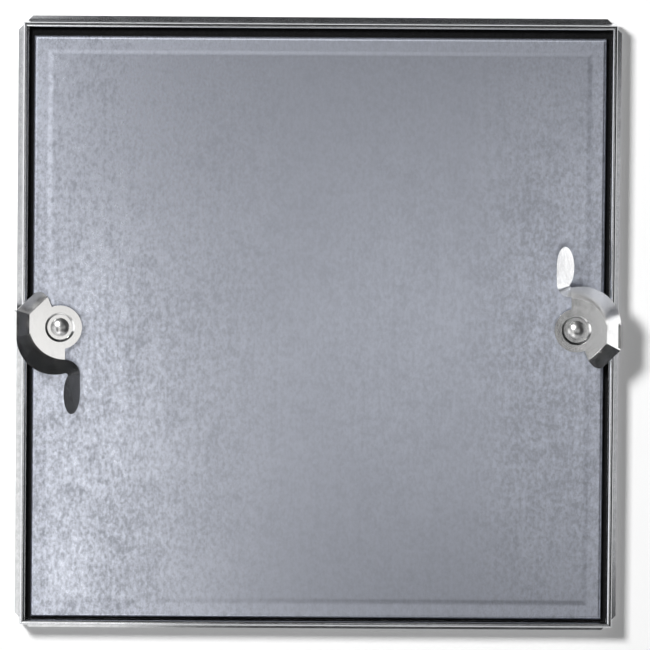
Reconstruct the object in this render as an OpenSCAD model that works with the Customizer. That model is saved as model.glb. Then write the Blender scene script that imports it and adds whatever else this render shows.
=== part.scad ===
// Insulated duct access door: a removable panel held in a mitred sheet-metal frame by two cam locks.
// The door faces -Y and the duct lies towards +Y. The origin is at the centre of the duct's opening,
// on the duct's outer face. Millimetres.

/* [Duct opening] */
// Width of the hole cut in the duct
opening_w = 203; // [160:0.5:320]
// Height of the hole cut in the duct
opening_h = 208.5; // [160:0.5:320]
// Gap between the collar and the edge of the hole
collar_clear = 0.5; // [0.3:0.1:2]

/* [Frame] */
// Thickness of the frame's sheet
frame_t = 0.7; // [0.5:0.1:0.9]
// Width of the frame's face from the hole to the outside of the rim
land = 22.5; // [22:0.5:35]
// Thickness of the folded rim
rim_t = 2; // [1.9:0.1:3]
// Height of the rim above the seat
rim_rise = 8.3; // [7.5:0.1:8.4]
// Width of the lip outside the rim
base_lip = 2; // [1:0.1:4]
// Depth that the collar reaches into the duct
collar_depth = 14; // [11:1:30]
// Width of a knock-over tab on the collar
tab_w = 22; // [12:1:40]
// Width of the slot between two tabs
tab_slot = 3; // [1:0.5:6]
// Depth of the slots
tab_len = 9; // [4:0.5:10]

/* [Seals] */
// Thickness of the seal between frame and duct
duct_gasket_t = 3; // [2:0.5:6]
// Width of the seal between frame and duct
duct_gasket_w = 12; // [8:0.5:14]
// Distance from the hole to that seal
duct_gasket_inset = 5; // [3:0.5:6]
// Thickness of the seal under the door's edge
door_gasket_t = 4; // [3.8:0.1:5]
// Width of the seal under the door's edge
door_gasket_w = 8.7; // [6:0.1:9]
// Gap between that seal and the rim
door_gasket_clear = 0.3; // [0.2:0.1:1]

/* [Door] */
// Gap between the door's edge and the rim when the door is centred
rim_gap = 2.5; // [2:0.1:4]
// Thickness of the door's front skin
skin_t = 0.9; // [0.6:0.05:1]
// Length of the hem's return behind the door
hem_return = 5; // [4:0.1:5.5]
// Distance from the door's edge to the raised field
field_inset = 5.6; // [4:0.1:8]
// Height of the raised field
field_rise = 0.15; // [0.1:0.05:0.4]
// Width of the soft curve at the edge of the field
field_curve = 2.6; // [1.5:0.1:4]
// Thickness of the back pan's sheet
pan_t = 0.9; // [0.6:0.05:1]
// Gap between the back pan and the collar when the door is centred
plug_clear = 1.5; // [1:0.1:3]
// Depth of the back pan behind its flange
plug_depth = 25; // [18:1:50]
// Gap that is left under the pan when the door rests on the collar
drop_clear = 0.3; // [0.2:0.1:0.8]
// Gap between the insulation and the sheets around it
fill_clear = 0.2; // [0.1:0.1:1]

/* [Cams] */
// Distance from the door's edge to the cam's pivot
pivot_inset = 11.5; // [11.2:0.1:16]
// Thickness of the cam's sheet
cam_t = 1; // [0.8:0.1:1.1]
// Radius of the cam's round face
disc_r = 9.2; // [8.5:0.1:11]
// Distance from the pivot to the bend at the foot of the flange
bend_r = 13.2; // [12.6:0.1:13.5]
// Angle at which the flange rises from the face
flange_slope = 45; // [36:1:48]
// Radius of the spiral along the top of the flange
spiral_r = 16.3; // [16:0.1:16.6]
// Reach of the claw's flat from the pivot
claw_reach = 18.2; // [17:0.1:19]
// Length of the lip turned down at the end of the claw
claw_lip = 5; // [3:0.1:5.2]
// Turn from the claw to the lead-in
lead_turn = 46; // [38:1:50]
// Reach of the lead-in from the pivot
lead_reach = 18.2; // [16:0.1:18.5]
// Depth of the dish round the rivet
dish_drop = 0.7; // [0.4:0.05:0.9]
// Radius of the dish's floor
dish_floor_r = 5.2; // [5:0.1:5.6]
// Radius of the dish's mouth
dish_r = 6.2; // [6:0.1:7.5]
// Radius of the turn from the flange to the handle
neck_r = 5.9; // [5.6:0.1:6.5]
// Width of the oval handle, seen from the front
handle_w = 7; // [6:0.1:8]
// Length of the oval handle, seen from the front
handle_len = 17.2; // [14:0.1:22]
// Angle at which the handle rises along its length
handle_rise = 8; // [0:1:15]

/* [Rivets and washers] */
// Radius of the rivet's shank
rivet_r = 2.4; // [2:0.1:2.6]
// Radius of the rivet's head
rivet_head_r = 3.9; // [3.6:0.1:4.6]
// Height of the rivet's head
rivet_head_h = 1.7; // [1.2:0.1:2.2]
// Radius of the rivet's rolled tail
rivet_tail_r = 3.5; // [3.2:0.1:4]
// Height of the rivet's rolled tail
rivet_tail_h = 1; // [0.6:0.1:1.2]
// Radius of the bore in the tail
tail_bore_r = 1.45; // [0.8:0.05:1.6]
// Depth of the bore in the tail
tail_bore_depth = 2.8; // [1:0.1:4]
// Running clearance of the cam on the rivet, on the radius
run_clear = 0.05; // [0.02:0.01:0.1]
// Clearance of the other holes on the rivet, on the radius
hole_clear = 0.15; // [0.1:0.05:0.4]
// End play of the cam between its washer and the rivet's head, at each side
end_play = 0.1; // [0.05:0.01:0.2]
// Radius of the dished spring washer
spring_r = 5; // [4.4:0.1:5.2]
// Thickness of the dished spring washer
spring_t = 0.5; // [0.3:0.05:0.6]
// Height of its dish
spring_dish = 0.4; // [0.2:0.05:0.5]
// Radius of the flat washer behind the door
backing_r = 5.5; // [4.5:0.1:5.8]
// Thickness of the flat washer behind the door
backing_t = 0.8; // [0.5:0.1:1]

/* [Hidden] */
$fn = 72;

galvanised = "#b4b9c2";
plated = "#d6d8d9";
black_foam = "#1b1b1d";
glass_wool = "#d9c36a";

// Outlines in the front view: half width and half height
frame_half = [opening_w / 2 + land, opening_h / 2 + land];
door_edge = rim_t + rim_gap;
door_half = [frame_half.x - door_edge, frame_half.y - door_edge];
collar_half = [opening_w / 2 - collar_clear - frame_t, opening_h / 2 - collar_clear - frame_t];
plug_half = [collar_half.x - plug_clear, collar_half.y - plug_clear];
door_drop = plug_clear - drop_clear;

// Heights above the duct, towards the front
seat_h = duct_gasket_t + frame_t;
rim_h = seat_h + rim_rise;
hem_h = seat_h + door_gasket_t;
pan_flange_h = hem_h + skin_t;
skin_h = pan_flange_h + pan_t;
border_h = skin_h + skin_t;
field_h = border_h + field_rise;
spring_h = spring_t + spring_dish;
dish_h = field_h + spring_h + end_play;
cam_h = dish_h + dish_drop;
head_h = dish_h + cam_t + end_play;
hem_r = (border_h - hem_h) / 2;

// The pivots, and lengths long enough to cut through anything
pivot_x = door_half.x - pivot_inset;
cut = 60;

// Turns the front view, with x right, y up and z towards the viewer, upright
module upright() {
    rotate([90, 0, 0]) children();
}

// A straight length of a section, mitred at both ends, on the side that lies towards +x.
// In the section x is the distance outside the outline and y is the height.
module mitred_length(across, along) {
    inside = min(across, along) / 2;
    intersection() {
        translate([across, 0, 0]) rotate([90, 0, 0])
            linear_extrude(2 * along, center = true) children();
        linear_extrude(4 * cut, center = true) polygon([
            [across - inside, inside - along],
            [across, -along],
            [across, along],
            [across - inside, along - inside]
        ]);
    }
}

// Frame: collar, seat, folded rim and outer lip, from one sheet
module frame_section() {
    collar_u = collar_half.x - frame_half.x;
    fold_h = rim_h - rim_t / 2;
    translate([collar_u, -collar_depth]) square([frame_t, collar_depth + seat_h]);
    translate([collar_u, duct_gasket_t]) square([frame_t - rim_t - collar_u, frame_t]);
    for (leg = [-rim_t, -frame_t])
        translate([leg, duct_gasket_t]) square([frame_t, fold_h - duct_gasket_t]);
    translate([-rim_t / 2, fold_h]) intersection() {
        difference() {
            circle(rim_t / 2);
            circle(rim_t / 2 - frame_t);
        }
        translate([-rim_t, 0]) square([2 * rim_t, rim_t]);
    }
}

// The outer lip, with its corners snipped off
module frame_lip(across, along) {
    translate([across - frame_t, 0, duct_gasket_t]) linear_extrude(frame_t) polygon([
        [0, -along + rim_t],
        [frame_t, -along + rim_t],
        [frame_t + base_lip, -along + rim_t + base_lip],
        [frame_t + base_lip, along - rim_t - base_lip],
        [frame_t, along - rim_t],
        [0, along - rim_t]
    ]);
}

// The slots that leave knock-over tabs along the collar
module tab_slots(across, along) {
    pitch = tab_w + tab_slot;
    count = floor((2 * along - tab_w) / pitch);
    for (i = [0 : count - 1])
        translate([across + frame_t / 2, (i - (count - 1) / 2) * pitch, -collar_depth])
            cube([2 * frame_t, tab_slot, 2 * tab_len], center = true);
}

module frame_side(side) {
    turn = side == "right" ? 0 : side == "top" ? 90 : side == "left" ? 180 : 270;
    flat = side == "top" || side == "bottom";
    frame = flat ? [frame_half.y, frame_half.x] : frame_half;
    collar = flat ? [collar_half.y, collar_half.x] : collar_half;
    color(galvanised) upright() rotate(turn) {
        difference() {
            mitred_length(frame.x, frame.y) frame_section();
            tab_slots(collar.x, collar.y);
        }
        frame_lip(frame.x, frame.y);
    }
}

// Foam strips: the top and bottom ones run through, and the side ones butt against them
module foam_strip(side, inner_half, width, base_h, thick) {
    turn = side == "right" ? 0 : side == "top" ? 90 : side == "left" ? 180 : 270;
    flat = side == "top" || side == "bottom";
    across = flat ? inner_half.y : inner_half.x;
    along = flat ? inner_half.x + width : inner_half.y;
    color(black_foam) upright() rotate(turn)
        translate([across, -along, base_h]) cube([width, 2 * along, thick]);
}

module duct_gasket(side) {
    inner = [opening_w / 2 + duct_gasket_inset, opening_h / 2 + duct_gasket_inset];
    foam_strip(side, inner, duct_gasket_w, 0, duct_gasket_t);
}

module door_gasket(side) {
    inset = rim_t + door_gasket_clear + door_gasket_w;
    foam_strip(side, [frame_half.x - inset, frame_half.y - inset], door_gasket_w, seat_h, door_gasket_t);
}

// The door hangs a little low, with its pan resting on the collar
module on_door() {
    upright() translate([0, -door_drop, 0]) children();
}

module at_pivot(side) {
    on_door() rotate(side == "right" ? 0 : 180) translate([pivot_x, 0, 0]) children();
}

// A flat block whose four edges follow a profile: the common part of two extrusions.
// The first child is the profile across the width, and the second the profile across the height.
module edged_block(half) {
    intersection() {
        rotate([90, 0, 0]) linear_extrude(2 * half.y, center = true) children(0);
        rotate([90, 0, 90]) linear_extrude(2 * half.x, center = true) children(1);
    }
}

module hem_profile(half) {
    mid_h = (hem_h + border_h) / 2;
    translate([hem_r - half, hem_h]) square([2 * (half - hem_r), 2 * hem_r]);
    for (end = [-1, 1])
        translate([end * (half - hem_r), mid_h]) circle(hem_r);
}

// The raised field rises from its foot in a soft double curve
module field_profile(half, foot_h) {
    steps = 8;
    edge = [
        for (i = [0 : steps]) let (t = i / steps)
            [half - field_curve * t, foot_h + field_rise * (1 - cos(180 * t)) / 2]
    ];
    below = foot_h - skin_t / 2;
    polygon(concat(
        [[-half, below], [half, below]],
        edge,
        [for (i = [steps : -1 : 0]) [-edge[i].x, edge[i].y]]
    ));
}

// A plain block in the front view, centred, between two heights
module slab(half, from_h, to_h) {
    translate([-half.x, -half.y, from_h]) cube([2 * half.x, 2 * half.y, to_h - from_h]);
}

function inset(half, by) = [half.x - by, half.y - by];

// Door skin: a sheet with a hemmed edge and a raised field
module door_skin() {
    field = inset(door_half, field_inset);
    color(galvanised) difference() {
        on_door() difference() {
            union() {
                edged_block(door_half) {
                    hem_profile(door_half.x);
                    hem_profile(door_half.y);
                }
                edged_block(field) {
                    field_profile(field.x, border_h);
                    field_profile(field.y, border_h);
                }
            }
            slab(inset(door_half, skin_t), pan_flange_h, skin_h);
            slab(inset(door_half, hem_return), hem_h - skin_t, skin_h);
            edged_block(field) {
                field_profile(field.x, skin_h);
                field_profile(field.y, skin_h);
            }
        }
        rivet_holes();
    }
}

module rivet_holes() {
    for (side = ["left", "right"])
        at_pivot(side) cylinder(r = rivet_r + hole_clear, h = cut, center = true);
}

// Back pan: a flange held in the hem, four walls and a floor
module door_back_pan() {
    floor_h = pan_flange_h - plug_depth;
    color(galvanised) difference() {
        on_door() difference() {
            union() {
                slab(inset(door_half, skin_t + hole_clear), pan_flange_h, skin_h);
                slab(plug_half, floor_h, skin_h);
            }
            slab(inset(plug_half, pan_t), floor_h + pan_t, skin_h + pan_t);
        }
        rivet_holes();
    }
}

module insulation() {
    floor_h = pan_flange_h - plug_depth + pan_t;
    color(glass_wool) on_door()
        slab(inset(plug_half, pan_t + fill_clear), floor_h + fill_clear, skin_h + field_rise - fill_clear);
}

// Cam lock, with its pivot at the origin, the rim towards +x and the underside of its face at z = 0
bore_r = rivet_r + run_clear;
// Centres of the circles along the foot and along the top of the flange
foot_at = [-2.2, -1.7];
foot_r = 15.7;
spiral_at = [2, 2.9];
// Angles at which the parts of the flange end, and by how much they overlap
claw_end = 14;
flange_end = 135;
lip_end = 11;
nose_end = -68;
overlap = 2;
// The foot of the flange inside the face's edge
foot_lift = 0.05 * cam_t;
foot_back = 0.4 * cam_t;
foot_mid = 0.3 * cam_t;
top_back = 0.6 * cam_t;
// The lip of the claw and the round nose of the lead-in
lip_slope = 77;
nose_r = 3.3;
nose_drop = 5.2;
// The neck turns about this point, where the top of the flange makes a notch
neck_at = foot_at + [0, foot_r + neck_r];
notch_r = neck_at.y - spiral_at.y - sqrt(pow(spiral_r, 2) - pow(neck_at.x - spiral_at.x, 2));
handle_at = [-5.1, 27.2];

// The part of the plane between two angles round the pivot
module sector(from, to) {
    steps = 6;
    polygon(concat([[0, 0]], [
        for (i = [0 : steps]) let (a = from + (to - from) * i / steps) cut * [cos(a), sin(a)]
    ]));
}

// The half plane that reaches a distance from the pivot, towards an angle
module up_to(reach, angle) {
    rotate(angle) translate([reach - 2 * cut, -cut]) square([2 * cut, 2 * cut]);
}

module cam_face_outline() {
    circle(disc_r);
    intersection() {
        translate(foot_at) circle(foot_r);
        up_to(bend_r, 0);
        up_to(bend_r, -lead_turn);
        up_to(-neck_at.x, 180);
        sector(nose_end, flange_end);
    }
}

module cam_face() {
    difference() {
        linear_extrude(cam_t) cam_face_outline();
        cylinder(r = dish_r, h = cut, center = true);
    }
    rotate_extrude() polygon([
        [bore_r, -dish_drop], [dish_floor_r, -dish_drop], [dish_r, 0],
        [dish_r, cam_t], [dish_floor_r, cam_t - dish_drop], [bore_r, cam_t - dish_drop]
    ]);
}

// The flange's sheet, rising outwards from its foot inside the face's edge
module flange_sheet() {
    run = [cos(flange_slope), sin(flange_slope)];
    foot = [0, foot_lift];
    top_h = foot_lift + cam_t / run.x - top_back * tan(flange_slope);
    polygon([
        [-foot_back, foot_mid],
        foot,
        foot + bend_r * run,
        foot + bend_r * run + cam_t * [-run.y, run.x],
        [-top_back, top_h]
    ]);
}

module straight_flange(angle, length) {
    rotate([0, 0, angle]) translate([bend_r, 0, 0]) rotate([90, 0, 0])
        linear_extrude(length, center = true) flange_sheet();
}

module curved_flange() {
    intersection() {
        translate(foot_at) rotate_extrude() translate([foot_r, 0]) flange_sheet();
        linear_extrude(cut) intersection() {
            translate(spiral_at) circle(spiral_r);
            up_to(-neck_at.x, 180);
            sector(claw_end - overlap, flange_end);
        }
    }
}

module claw() {
    top = foot_lift + (claw_reach - bend_r) * tan(flange_slope) + cam_t / cos(flange_slope);
    intersection() {
        straight_flange(0, cut);
        linear_extrude(cut) intersection() {
            up_to(claw_reach, 0);
            sector(-lead_turn / 2, claw_end);
        }
    }
    // The lip, turned down outside the rim
    intersection() {
        translate([claw_reach, 0, top]) rotate([90, 0, 0]) linear_extrude(cut, center = true)
            rotate(-lip_slope) translate([0, -cam_t]) square([claw_lip, cam_t]);
        linear_extrude(cut) sector(overlap - lead_turn / 2, lip_end);
    }
}

module lead_in() {
    intersection() {
        straight_flange(-lead_turn, cut);
        linear_extrude(cut) intersection() {
            sector(-90, -lead_turn / 2);
            rotate(-lead_turn) union() {
                translate([0, nose_r - nose_drop]) square([lead_reach, cut]);
                translate([0, -nose_drop]) square([lead_reach - nose_r, cut]);
                translate([lead_reach - nose_r, nose_r - nose_drop]) circle(nose_r);
            }
        }
    }
}

// The flange goes on round the notch and turns up into the handle
module neck() {
    intersection() {
        translate(neck_at) rotate_extrude() intersection() {
            translate([neck_r, 0]) mirror([1, 0]) flange_sheet();
            translate([notch_r, 0]) square([neck_r - notch_r + foot_back, cut]);
        }
        translate([neck_at.x - cut, neck_at.y - cut, 0]) cube(cut);
    }
}

// The oval handle, a flat sheet that leans over like the flange and rises a little outwards
module handle() {
    half = [handle_w / 2, handle_len / 2];
    left = neck_at.x - neck_r;
    intersection() {
        translate([left, neck_at.y, foot_lift]) rotate([handle_rise, 0, 0]) rotate([0, -flange_slope, 0])
            translate([-cut, -cut, 0]) cube([2 * cut, 2 * cut, cam_t]);
        linear_extrude(cut) intersection() {
            union() {
                polygon([for (a = [0 : 5 : 355]) handle_at + [half.x * cos(a), half.y * sin(a)]]);
                polygon([
                    [left - foot_back, neck_at.y],
                    [neck_at.x - notch_r, neck_at.y],
                    [handle_at.x + half.x, handle_at.y],
                    [handle_at.x - half.x, handle_at.y]
                ]);
            }
            translate([-cut, neck_at.y]) square(2 * cut);
        }
    }
}

module cam() {
    cam_face();
    curved_flange();
    claw();
    lead_in();
    neck();
    handle();
}

module cam_on(side) {
    color(plated) at_pivot(side) translate([0, 0, cam_h]) cam();
}

// Semi-tubular rivet: domed head, shank, and a tail rolled over the backing washer
module cam_rivet(side) {
    dome_r = (pow(rivet_head_r, 2) + pow(rivet_head_h, 2)) / (2 * rivet_head_h);
    tail_h = pan_flange_h - backing_t - rivet_tail_h;
    roll_r = rivet_tail_h / 2;
    color(plated) at_pivot(side) difference() {
        union() {
            translate([0, 0, head_h]) intersection() {
                translate([0, 0, rivet_head_h - dome_r]) sphere(dome_r);
                cylinder(r = rivet_head_r, h = rivet_head_h);
            }
            translate([0, 0, tail_h]) cylinder(r = rivet_r, h = head_h - tail_h);
            translate([0, 0, tail_h]) rotate_extrude() {
                translate([rivet_tail_r - roll_r, roll_r]) intersection() {
                    circle(roll_r);
                    translate([0, -roll_r]) square(rivet_tail_h);
                }
                square([rivet_tail_r - roll_r, rivet_tail_h]);
            }
        }
        translate([0, 0, tail_h]) cylinder(r = tail_bore_r, h = 2 * tail_bore_depth, center = true);
    }
}

module spring_washer(side) {
    inner = rivet_r + hole_clear;
    color(plated) at_pivot(side) translate([0, 0, field_h]) rotate_extrude() polygon([
        [inner, spring_dish], [spring_r, 0], [spring_r, spring_t], [inner, spring_h]
    ]);
}

module backing_washer(side) {
    color(plated) at_pivot(side) translate([0, 0, pan_flange_h - backing_t]) difference() {
        cylinder(r = backing_r, h = backing_t);
        cylinder(r = rivet_r + hole_clear, h = cut, center = true);
    }
}

for (side = ["top", "bottom", "left", "right"]) {
    frame_side(side);
    duct_gasket(side);
    door_gasket(side);
}
door_skin();
door_back_pan();
insulation();
for (side = ["left", "right"]) {
    cam_on(side);
    cam_rivet(side);
    spring_washer(side);
    backing_washer(side);
}
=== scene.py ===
import math

import bmesh
import bpy
from mathutils import Matrix, Quaternion, Vector


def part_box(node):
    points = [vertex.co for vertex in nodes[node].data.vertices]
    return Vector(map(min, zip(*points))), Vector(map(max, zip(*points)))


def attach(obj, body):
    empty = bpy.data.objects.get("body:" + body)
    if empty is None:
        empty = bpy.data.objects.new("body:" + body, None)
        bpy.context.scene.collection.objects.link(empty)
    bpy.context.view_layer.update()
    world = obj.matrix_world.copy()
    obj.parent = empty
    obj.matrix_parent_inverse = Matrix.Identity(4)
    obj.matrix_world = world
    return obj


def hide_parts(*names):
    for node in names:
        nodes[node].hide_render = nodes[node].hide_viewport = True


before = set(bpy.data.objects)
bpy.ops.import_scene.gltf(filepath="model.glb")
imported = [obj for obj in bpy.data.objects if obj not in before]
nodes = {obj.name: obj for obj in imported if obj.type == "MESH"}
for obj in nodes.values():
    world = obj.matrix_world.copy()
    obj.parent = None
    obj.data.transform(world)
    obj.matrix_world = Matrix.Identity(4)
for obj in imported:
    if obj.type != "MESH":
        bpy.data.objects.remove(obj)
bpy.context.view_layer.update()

scene = bpy.context.scene

SIDES = ("top", "bottom", "left", "right")
PAIR = ("left", "right")

# Image width in pixels, and the size of one pixel on the door
IMAGE_WIDTH = 650
PIXEL = 0.4186e-3

# Plain width of the door's margin, at its sides and at its ends
MARGIN = (0.0069, 0.00715)

# Rounding of the cams' sheared edges
CAM_EDGE = 0.00018
CAM_EDGE_STEPS = 2
CAM_EDGE_SHARP = math.radians(28)

# When a mesh is merged, points this close become one point, and faces this nearly level one face
WELD = 5e-6
LEVEL = math.radians(0.5)

# Faces that meet at less than this angle are shaded as one
SMOOTH = math.radians(35)

# The floor, and the board behind the frame, with a hole about the size of the frame's collar
FLOOR_RADIUS = 1.2
FLOOR_DROP = 1.2
BOARD_HALF = 0.4
BOARD_HOLE_HALF = 0.103
BOARD_Y = 0.0002

# Glow that lifts the lit board to white, and brightness of the backdrop, where 1 is white
BOARD_GLOW = 0.22
BACKDROP = 0.85

# Turns of the zinc's rolled grain, along Z or along X
UPRIGHT = (0.0, 0.0, 0.0)
LYING = (0.0, math.radians(90), 0.0)

BLACK = (0.0, 0.0, 0.0, 1)
VECTOR, FLOAT = "NodeSocketVector", "NodeSocketFloat"


# Camera: a long lens, a little above the middle and turned slightly, at the photograph's angle
def make_camera():
    distance = 8.0
    azimuth, elevation, roll = (math.radians(a) for a in (-1.5, 6.8, 0.53))
    target = Vector((0.0031, 0.0, -0.0011))
    data = bpy.data.cameras.new("camera")
    data.sensor_width = 36.0
    data.lens = data.sensor_width * distance / (IMAGE_WIDTH * PIXEL)
    data.clip_end = 50.0
    camera = bpy.data.objects.new("camera", data)
    scene.collection.objects.link(camera)
    back = Vector((
        math.sin(azimuth) * math.cos(elevation),
        -math.cos(azimuth) * math.cos(elevation),
        math.sin(elevation),
    ))
    camera.location = target + back * distance
    camera.rotation_mode = "QUATERNION"
    camera.rotation_quaternion = (-back).to_track_quat("-Z", "Y") @ Quaternion((0, 0, 1), roll)
    scene.camera = camera


# Small helpers for node trees
class Tree:
    def __init__(self, tree):
        self.tree = tree

    def add(self, kind, settings=None, **inputs):
        node = self.tree.nodes.new(kind)
        for key, value in (settings or {}).items():
            setattr(node, key, value)
        for key, value in inputs.items():
            self.put(node.inputs[key], value)
        return node

    def put(self, socket, value):
        if isinstance(value, bpy.types.NodeSocket):
            self.tree.links.new(value, socket)
        else:
            socket.default_value = value

    def fill(self, node, values):
        for socket, value in zip(node.inputs, values):
            self.put(socket, value)

    def math(self, operation, *values):
        node = self.add("ShaderNodeMath", {"operation": operation})
        self.fill(node, values)
        return node.outputs[0]

    def vector(self, operation, *values):
        node = self.add("ShaderNodeVectorMath", {"operation": operation})
        self.fill(node, values)
        return node.outputs["Value" if operation == "DOT_PRODUCT" else "Vector"]

    # The sum of several values, each times its share
    def mixed(self, *parts):
        total = 0.0
        for value, share in parts:
            total = self.math("MULTIPLY_ADD", value, share, total)
        return total

    def scaled(self, vector, scale):
        return self.vector("MULTIPLY", vector, scale)

    def noise(self, vector, scale, detail, roughness, distortion=0.0):
        node = self.add("ShaderNodeTexNoise", Vector=vector, Scale=scale, Detail=detail,
                        Roughness=roughness, Distortion=distortion)
        return node.outputs["Fac"]

    # A random shade for each cell, and the distance from its middle
    def cells(self, vector, scale):
        node = self.add("ShaderNodeTexVoronoi", Vector=vector, Scale=scale)
        split = self.add("ShaderNodeSeparateColor", Color=node.outputs["Color"])
        return split.outputs[0], node.outputs["Distance"]

    def axes(self, vector):
        return self.add("ShaderNodeSeparateXYZ", Vector=vector).outputs

    def ramp(self, value, low, high, to_low, to_high):
        node = self.add("ShaderNodeMapRange", {"clamp": True})
        self.fill(node, (value, low, high, to_low, to_high))
        return node.outputs[0]

    # A tone from 0 to 1 made a value between two ends
    def between(self, tone, at_none, at_full):
        return self.ramp(tone, 0.0, 1.0, at_none, at_full)

    # A tone from 0 to 1 made a colour between two colours
    def blend(self, factor, a, b):
        node = self.add("ShaderNodeMix", {"data_type": "RGBA"})
        self.put(node.inputs[0], factor)
        self.put(node.inputs[6], a)
        self.put(node.inputs[7], b)
        return node.outputs[2]


# A finish turns a place on the surface into a tone from 0 to 1 and a height
def new_finish(name):
    group = bpy.data.node_groups.new(name, "ShaderNodeTree")
    group.interface.new_socket("Vector", in_out="INPUT", socket_type=VECTOR)
    for socket in ("Tone", "Height"):
        group.interface.new_socket(socket, in_out="OUTPUT", socket_type=FLOAT)
    t = Tree(group)
    return group, t, t.add("NodeGroupInput").outputs["Vector"], t.add("NodeGroupOutput").inputs


# A material, with its node tree, its shader and the place on the surface
def new_material(name):
    material = bpy.data.materials.new(name)
    material.use_nodes = True
    t = Tree(material.node_tree)
    shader = material.node_tree.nodes["Principled BSDF"]
    where = t.add("ShaderNodeTexCoord").outputs["Object"]
    return material, t, shader, where


def bumped(t, shader, height, strength, distance):
    bump = t.add("ShaderNodeBump", Strength=strength, Distance=distance, Height=height)
    t.put(shader.inputs["Normal"], bump.outputs["Normal"])


# Hot-dip zinc: small ragged crystals, flecks and the fine lines of rolling along Z
def zinc_finish():
    group, t, where, out = new_finish("zinc")
    ragged = t.add("ShaderNodeTexNoise", Vector=where, Scale=900.0, Detail=2.0).outputs["Color"]
    moved = t.vector("MULTIPLY_ADD", ragged, (0.0014, 0.0014, 0.0014), where)
    crystals = t.cells(moved, scale=480.0)[0]
    specks = t.noise(t.scaled(where, (1.0, 1.0, 0.7)), scale=640.0, detail=5.0, roughness=0.75)
    flecks = t.ramp(specks, low=0.38, high=0.62, to_low=0.0, to_high=1.0)
    patches = t.noise(where, scale=160.0, detail=2.0, roughness=0.6)
    lines = t.noise(t.scaled(where, (1000.0, 1000.0, 110.0)), scale=1.0, detail=2.0, roughness=0.6)
    streaks = t.noise(t.scaled(where, (330.0, 330.0, 8.0)), scale=1.0, detail=2.0, roughness=0.5)
    cloud = t.noise(where, scale=28.0, detail=3.0, roughness=0.55)
    tone = t.mixed((crystals, 0.15), (flecks, 0.5), (patches, 0.4), (lines, 0.3), (streaks, 0.25),
                   (cloud, 0.6))
    t.put(out["Tone"], t.ramp(tone, low=0.78, high=1.42, to_low=0.0, to_high=1.0))
    t.put(out["Height"], t.mixed((lines, 0.006), (flecks, 0.006)))
    return group


# Bright plating over formed steel: faint draw lines, a little haze and a slight wave
def plating_finish():
    group, t, where, out = new_finish("plating")
    haze = t.noise(where, scale=260.0, detail=3.0, roughness=0.55)
    lines = t.noise(t.scaled(where, (1500.0, 1500.0, 300.0)), scale=1.0, detail=2.0, roughness=0.5)
    wave = t.noise(where, scale=90.0, detail=1.0, roughness=0.4)
    tone = t.mixed((lines, 0.4), (haze, 0.6))
    t.put(out["Tone"], t.ramp(tone, low=0.3, high=0.7, to_low=0.0, to_high=1.0))
    t.put(out["Height"], t.mixed((lines, 0.04), (wave, 1.0)))
    return group


# Painted light: the door's texture is made strong at the left, faint in the middle and fairly strong at the
# right, standing in for how the lamps' reflections bring it out
def painted_light_contrast(t, where, tone):
    across = t.axes(where)[0]
    left = t.ramp(across, low=-0.085, high=-0.01, to_low=1.0, to_high=0.28)
    right = t.ramp(across, low=0.045, high=0.09, to_low=0.0, to_high=0.72)
    strong = t.math("MAXIMUM", left, right)
    return t.math("MULTIPLY_ADD", t.math("SUBTRACT", tone, 0.5), strong, 0.5)


# The margin round the door's raised field, with the pressed edge, is duller than the field; painted shade
# makes it darker and tones down the pressed edge's highlight
def dull_margin_with_painted_shade(t, shader, where, rougher, painted_shade):
    low, high = (Vector(corner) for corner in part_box("door_skin"))
    half = (high - low) / 2
    place = t.axes(t.vector("SUBTRACT", where, (low + high) / 2))
    past = [t.math("SUBTRACT", t.math("ABSOLUTE", place[axis]), half[axis] - width)
            for axis, width in zip((0, 2), MARGIN)]
    outside = t.math("MAXIMUM", *past)
    rough, colour = shader.inputs["Roughness"], shader.inputs["Base Color"]
    extra = t.ramp(outside, low=-0.0008, high=0.0008, to_low=0.0, to_high=rougher)
    t.put(rough, t.math("ADD", rough.links[0].from_socket, extra))
    # Painted shade: the margin and the pressed edge are blended towards black
    shade = t.ramp(outside, low=-0.0018, high=0.0006, to_low=0.0, to_high=painted_shade)
    t.put(colour, t.blend(shade, colour.links[0].from_socket, BLACK))


# Metal whose finish sets its colour and roughness, each between two values, and its bump
def metal(name, finish, dark, light, rough, bump, turn=UPRIGHT, door=False):
    material, t, shader, where = new_material(name)
    turned = t.add("ShaderNodeMapping", Vector=where, Rotation=turn).outputs["Vector"]
    surface = t.add("ShaderNodeGroup", {"node_tree": finish}, Vector=turned).outputs
    # On the door, the texture's strength by place is painted light
    tone = painted_light_contrast(t, where, surface["Tone"]) if door else surface["Tone"]
    t.put(shader.inputs["Base Color"], t.blend(tone, (*dark, 1), (*light, 1)))
    t.put(shader.inputs["Roughness"], t.between(tone, *rough))
    shader.inputs["Metallic"].default_value = 1.0
    bumped(t, shader, surface["Height"], *bump)
    if door:
        # On the door, painted shade darkens the margin and the pressed edge
        dull_margin_with_painted_shade(t, shader, where, rougher=0.05, painted_shade=0.1)
    return material


# Closed-cell foam: dull black with a skin of small pores
def foam(name):
    material, t, shader, where = new_material(name)
    shade, pores = t.cells(where, scale=1300.0)
    lumps = t.noise(where, scale=300.0, detail=3.0, roughness=0.6)
    colour = t.blend(lumps, (0.002, 0.002, 0.0022, 1), (0.008, 0.008, 0.0085, 1))
    t.put(shader.inputs["Base Color"], colour)
    t.put(shader.inputs["Roughness"], t.between(shade, 0.78, 0.95))
    shader.inputs["Specular IOR Level"].default_value = 0.12
    bumped(t, shader, t.mixed((lumps, 0.5), (pores, 1.0)), strength=0.5, distance=0.0004)
    return material


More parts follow.
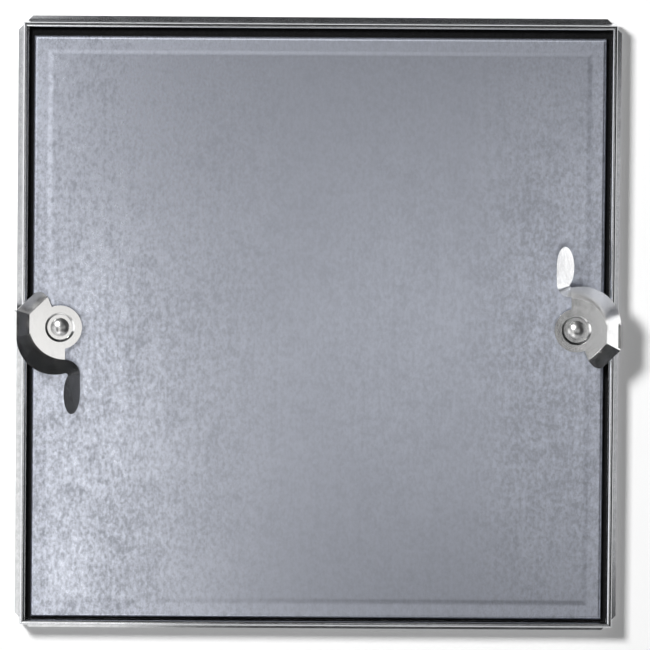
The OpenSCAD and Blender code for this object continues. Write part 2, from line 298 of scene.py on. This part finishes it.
# Glass wool: matted yellow fibres in layers
def glass_wool(name):
    material, t, shader, where = new_material(name)
    layers = t.scaled(where, (180.0, 2600.0, 420.0))
    fibres = t.noise(layers, scale=1.0, detail=4.0, roughness=0.65, distortion=1.2)
    mat = t.noise(where, scale=120.0, detail=4.0, roughness=0.6, distortion=0.8)
    matted = t.mixed((fibres, 0.6), (mat, 0.4))
    tone = t.ramp(matted, low=0.3, high=0.7, to_low=0.0, to_high=1.0)
    t.put(shader.inputs["Base Color"], t.blend(tone, (0.42, 0.28, 0.06, 1), (0.85, 0.68, 0.26, 1)))
    t.put(shader.inputs["Roughness"], t.between(tone, 0.95, 0.8))
    bumped(t, shader, matted, strength=0.7, distance=0.001)
    return material


# A node's own mesh takes a material in place of the one it came with
def wear(node, material):
    slots = nodes[node].data.materials
    slots.clear()
    slots.append(material)


# Smooth normals that lean on the large faces: flats stay flat, and bends and rounds run smoothly
def even_normals(mesh):
    bm = bmesh.new()
    bm.from_mesh(mesh)
    bm.faces.ensure_lookup_table()
    normals = []
    for face in bm.faces:
        for loop in face.loops:
            total = Vector((0.0, 0.0, 0.0))
            for other in loop.vert.link_faces:
                if other.normal.dot(face.normal) > math.cos(SMOOTH):
                    total += other.normal * other.calc_area()
            normals.append(total.normalized() if total.length > 0 else face.normal.copy())
    bm.free()
    mesh.polygons.foreach_set("use_smooth", [True] * len(mesh.polygons))
    mesh.normals_split_custom_set(normals)


# A copy of a pressed cam with its sheared edges rounded, so that they catch the light
def softened_cam(cam, material):
    bm = bmesh.new()
    bm.from_mesh(nodes[cam].data)
    bmesh.ops.remove_doubles(bm, verts=bm.verts, dist=WELD)
    bmesh.ops.dissolve_limit(bm, angle_limit=LEVEL, verts=bm.verts, edges=bm.edges)
    edges = [e for e in bm.edges if e.is_manifold and e.calc_face_angle() > CAM_EDGE_SHARP]
    bmesh.ops.bevel(bm, geom=edges, offset=CAM_EDGE, offset_type="OFFSET", segments=CAM_EDGE_STEPS,
                    profile=0.5, affect="EDGES", clamp_overlap=True, material=-1)
    mesh = bpy.data.meshes.new(cam + "_formed")
    bm.to_mesh(mesh)
    bm.free()
    mesh.materials.append(material)
    even_normals(mesh)
    piece = bpy.data.objects.new(cam + "_formed", mesh)
    scene.collection.objects.link(piece)
    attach(piece, cam)
    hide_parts(cam)


# Every node gets its material, and the cams get their soft edges; a bump is a strength and a depth
def dress():
    zinc = zinc_finish()
    plating = plating_finish()
    rolled, faint, wavy = (1.0, 0.001), (0.1, 0.001), (0.04, 0.0008)
    door_sheet = metal("door_sheet", zinc, dark=(0.36, 0.379, 0.436), light=(0.82, 0.859, 0.977),
                       rough=(0.39, 0.27), bump=rolled, door=True)
    pan_sheet = metal("pan_sheet", zinc, dark=(0.43, 0.45, 0.5), light=(0.55, 0.575, 0.63),
                      rough=(0.46, 0.3), bump=rolled)
    frame_sheets = {}
    for name, turn in (("frame_sheet_upright", UPRIGHT), ("frame_sheet_lying", LYING)):
        frame_sheets[turn] = metal(name, zinc, dark=(0.6, 0.61, 0.63), light=(0.7, 0.71, 0.73),
                                   rough=(0.22, 0.15), bump=faint, turn=turn)
    cam_plating = metal("cam_plating", plating, dark=(0.7, 0.7, 0.7), light=(0.84, 0.84, 0.84),
                        rough=(0.12, 0.2), bump=wavy)
    rivet_plating = metal("rivet_plating", plating, dark=(0.58, 0.58, 0.58), light=(0.74, 0.74, 0.74),
                          rough=(0.26, 0.34), bump=wavy)
    hardware_plating = metal("hardware_plating", plating, dark=(0.5, 0.51, 0.52), light=(0.7, 0.71, 0.72),
                             rough=(0.24, 0.36), bump=wavy)
    black_foam = foam("black_foam")
    for side in SIDES:
        wear("frame_" + side, frame_sheets[UPRIGHT if side in PAIR else LYING])
        wear("duct_gasket_" + side, black_foam)
        wear("door_gasket_" + side, black_foam)
    wear("door_skin", door_sheet)
    wear("door_back_pan", pan_sheet)
    wear("insulation", glass_wool("glass_wool"))
    for side in PAIR:
        wear("cam_" + side, cam_plating)
        wear("cam_rivet_" + side, rivet_plating)
        wear("spring_washer_" + side, hardware_plating)
        wear("backing_washer_" + side, hardware_plating)
        softened_cam("cam_" + side, cam_plating)


# Where the background is seen in metal or through glass
def mirrored(t, seen):
    return t.math("MAXIMUM", seen["Is Glossy Ray"], seen["Is Transmission Ray"])


# A sheet of the stage, which throws no light back onto matt surfaces
def stage_sheet(name, bm, material):
    mesh = bpy.data.meshes.new(name)
    bm.to_mesh(mesh)
    bm.free()
    mesh.materials.append(material)
    obj = bpy.data.objects.new(name, mesh)
    obj.visible_diffuse = False
    scene.collection.objects.link(obj)
    return obj


# A pale floor below
def make_floor():
    material, t, shader, where = new_material("pale_floor")
    tone = t.noise(where, scale=6.0, detail=2.0, roughness=0.5)
    t.put(shader.inputs["Base Color"], t.blend(tone, (0.68, 0.68, 0.68, 1), (0.72, 0.72, 0.72, 1)))
    shader.inputs["Roughness"].default_value = 0.9
    disc = bmesh.new()
    bmesh.ops.create_circle(disc, cap_ends=True, segments=48, radius=FLOOR_RADIUS)
    bmesh.ops.translate(disc, vec=(0.0, 0.0, -FLOOR_DROP), verts=disc.verts)
    stage_sheet("floor", disc, material)


# A white board close behind the frame, clear when seen from its back
def make_board():
    material, t, shader, _ = new_material("white_board")
    shader.inputs["Base Color"].default_value = (0.8, 0.8, 0.8, 1)
    shader.inputs["Roughness"].default_value = 0.95
    shader.inputs["Emission Color"].default_value = (1, 1, 1, 1)
    seen = t.add("ShaderNodeLightPath").outputs
    glow = t.math("MAXIMUM", seen["Is Camera Ray"], mirrored(t, seen))
    t.put(shader.inputs["Emission Strength"], t.math("MULTIPLY", glow, BOARD_GLOW))
    from_back = t.add("ShaderNodeNewGeometry").outputs["Backfacing"]
    clear = t.add("ShaderNodeBsdfTransparent").outputs[0]
    either = t.add("ShaderNodeMixShader")
    t.fill(either, (from_back, shader.outputs[0], clear))
    t.put(material.node_tree.nodes["Material Output"].inputs["Surface"], either.outputs[0])
    plate = bmesh.new()
    bmesh.ops.create_grid(plate, x_segments=1, y_segments=1, size=BOARD_HALF)
    bmesh.ops.inset_individual(plate, faces=plate.faces[:], thickness=BOARD_HALF - BOARD_HOLE_HALF,
                               use_even_offset=True)
    hole = min(plate.faces, key=lambda face: face.calc_center_median().length)
    bmesh.ops.delete(plate, geom=[hole], context="FACES")
    bmesh.ops.rotate(plate, matrix=Matrix.Rotation(math.radians(90), 3, "X"), verts=plate.verts)
    bmesh.ops.translate(plate, vec=(0.0, BOARD_Y, 0.0), verts=plate.verts)
    board = stage_sheet("board", plate, material)
    board.visible_shadow = False


# An area lamp; a card shows in the metal alone and doesn't light matt surfaces
def soft_box(name, place, aim, size, power, card=True, colour=(1.0, 1.0, 1.0)):
    data = bpy.data.lights.new(name, "AREA")
    data.shape = "RECTANGLE"
    data.size, data.size_y = size
    data.energy = power
    data.color = colour
    lamp = bpy.data.objects.new(name, data)
    lamp.location = place
    lamp.rotation_mode = "QUATERNION"
    lamp.rotation_quaternion = (Vector(aim) - Vector(place)).to_track_quat("-Z", "Y")
    lamp.visible_diffuse = not card
    lamp.visible_camera = False
    scene.collection.objects.link(lamp)


# A card in front of the door that faces it squarely
def front_card(name, place, size, power, **settings):
    x, _, z = place
    soft_box(name, place, (x, 0.0, z), size, power, **settings)


def make_lights():
    middle = (0.0, 0.0, 0.0)
    front_card("front_low_left", place=(-0.136, -0.4, -0.275), size=(0.148, 0.5), power=0.26,
               colour=(1.0, 0.99, 0.97))
    front_card("front_middle", place=(0.0532, -0.6, -0.0714), size=(0.075, 0.14), power=0.0495)
    front_card("front_right", place=(0.215, -0.4, -0.05), size=(0.18, 0.22), power=0.078)
    front_card("left_edge", place=(-0.16, -0.4, 0.0625), size=(0.1, 0.175), power=0.047)
    soft_box("above", place=(-0.15, -0.25, 0.7), aim=(-0.11, 0.0, 0.0), size=(0.12, 0.12), power=0.018)
    soft_box("left", place=(-1.1, -0.1, -0.3), aim=(0.0, -0.1, -0.3), size=(0.8, 0.9), power=3.4)
    soft_box("side_left", place=(-0.55, -0.4, -0.25), aim=(-0.12, 0.0, -0.05), size=(0.25, 0.5), power=0.47)
    soft_box("low_left", place=(-0.2, -0.35, -0.5), aim=(-0.08, 0.0, -0.12), size=(0.3, 0.15), power=0.25)
    soft_box("key_high_left", place=(-1.1, -2.0, 1.1), aim=middle, size=(0.5, 0.5), power=78.0, card=False)
    soft_box("rear", place=(0.6, 2.0, 0.9), aim=middle, size=(1.2, 1.2), power=20.0, card=False)


# The room: dark in front, with a soft glow from the lower left, and pale behind.
# The camera sees a pale backdrop all round, and metal shows the half of it that is behind.
def make_room():
    world = bpy.data.worlds.new("studio")
    world.use_nodes = True
    t = Tree(world.node_tree)
    way = t.add("ShaderNodeTexCoord").outputs["Generated"]
    lower_left = t.vector("DOT_PRODUCT", way, Vector((-0.6, -0.35, -0.72)).normalized())
    behind = t.ramp(t.axes(way)[1], low=0.1, high=0.5, to_low=0.0, to_high=1.0)
    glow = t.ramp(lower_left, low=0.25, high=1.0, to_low=0.02, to_high=0.1)
    room = t.mixed((behind, 0.45), (glow, 1.0))
    seen = t.add("ShaderNodeLightPath").outputs
    shown = t.math("MULTIPLY", mirrored(t, seen), behind)
    pale = t.math("MULTIPLY", t.math("MAXIMUM", seen["Is Camera Ray"], shown), BACKDROP)
    ground = world.node_tree.nodes["Background"]
    ground.inputs["Color"].default_value = (0.96, 0.98, 1.0, 1)
    t.put(ground.inputs["Strength"], t.math("MAXIMUM", room, pale))
    scene.world = world


make_camera()
dress()
make_floor()
make_board()
make_lights()
make_room()
scene.view_settings.view_transform = "Standard"
